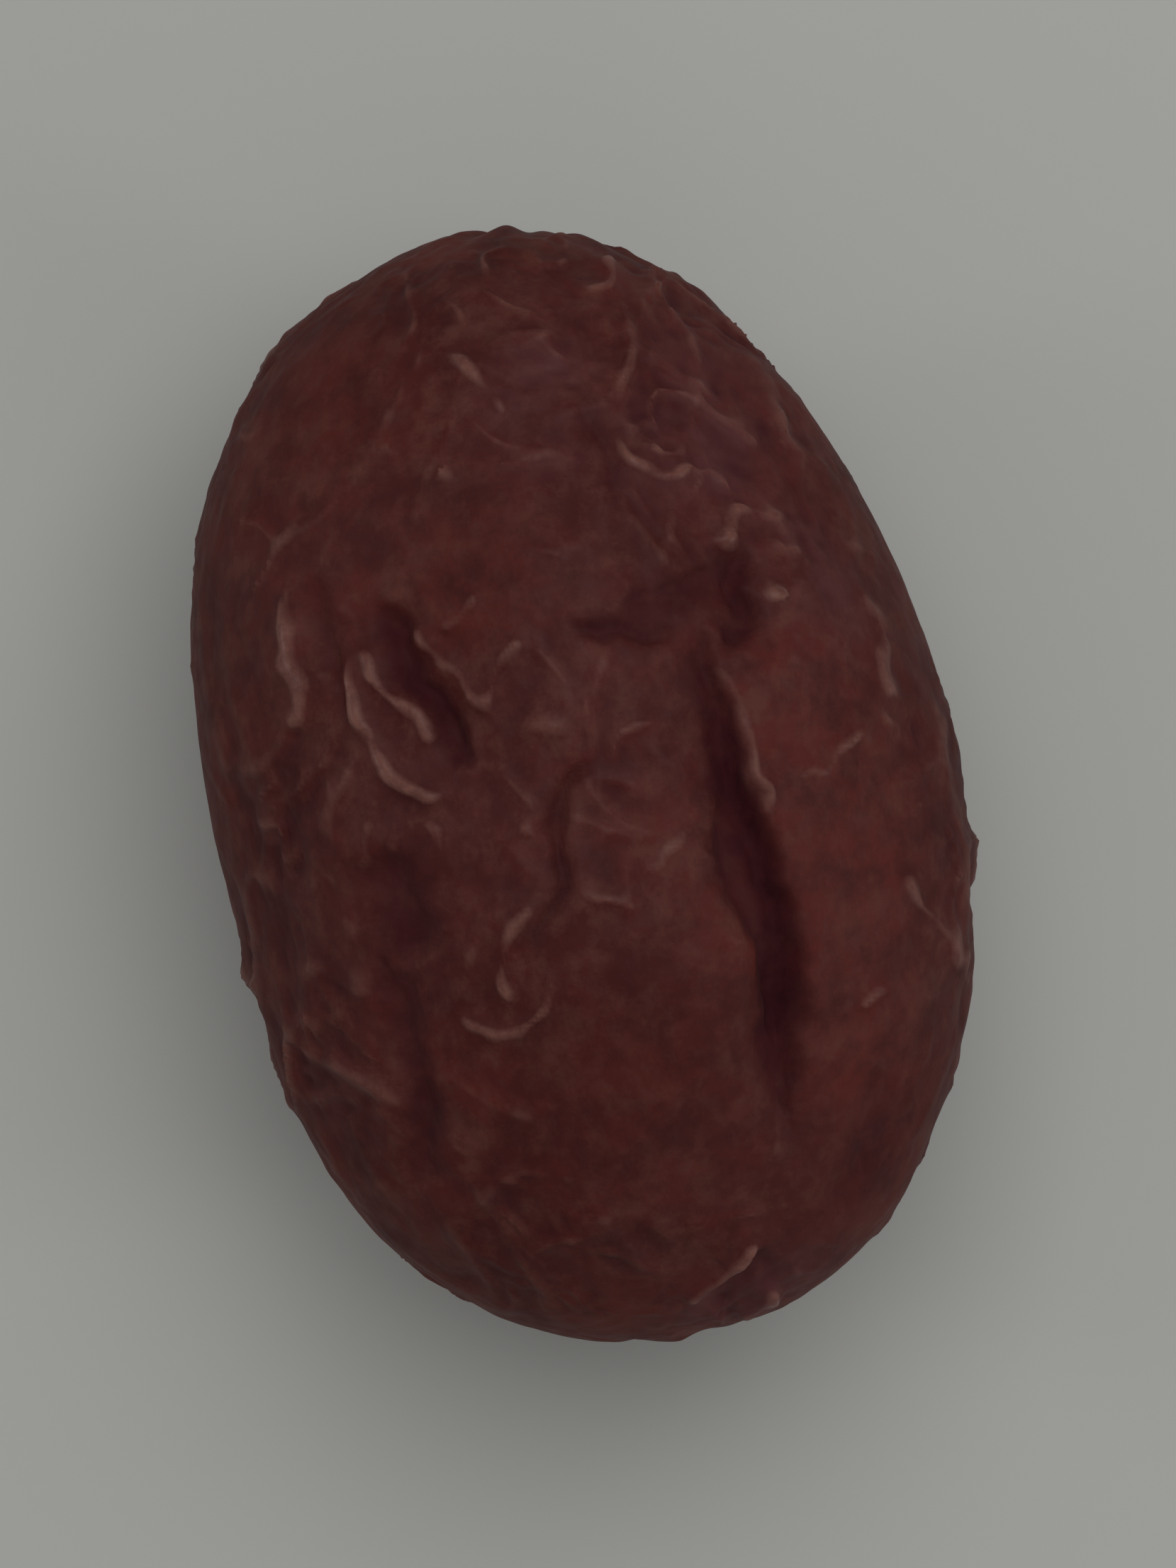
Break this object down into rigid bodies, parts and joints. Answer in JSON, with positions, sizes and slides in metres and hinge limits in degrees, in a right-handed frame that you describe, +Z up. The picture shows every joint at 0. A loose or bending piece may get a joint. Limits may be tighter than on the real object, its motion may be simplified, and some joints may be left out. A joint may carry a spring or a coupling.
{
  "type": "dried jujube",
  "caption": "Whole dried jujube: an egg-shaped, deep reddish-brown fruit with folded, wrinkled skin, a small stem cavity at one end and a pinched tip at the other.",
  "frame": {"origin": "Middle of the box round the fruit, at its lowest plane: the flat spot it rests on is at Z = 0.", "axes": "+Y runs along the fruit from the stem end to the pinched tip, +Z is up through the face seen in the picture, and +X is to that face's right when the tip points away."},
  "size_m": [0.0207, 0.0308, 0.0192],
  "materials": {
    "jujube_skin": "satin"
  },
  "bodies": {
    "root": {"jujube_fruit": "jujube_skin"}
  },
  "joints": []
}
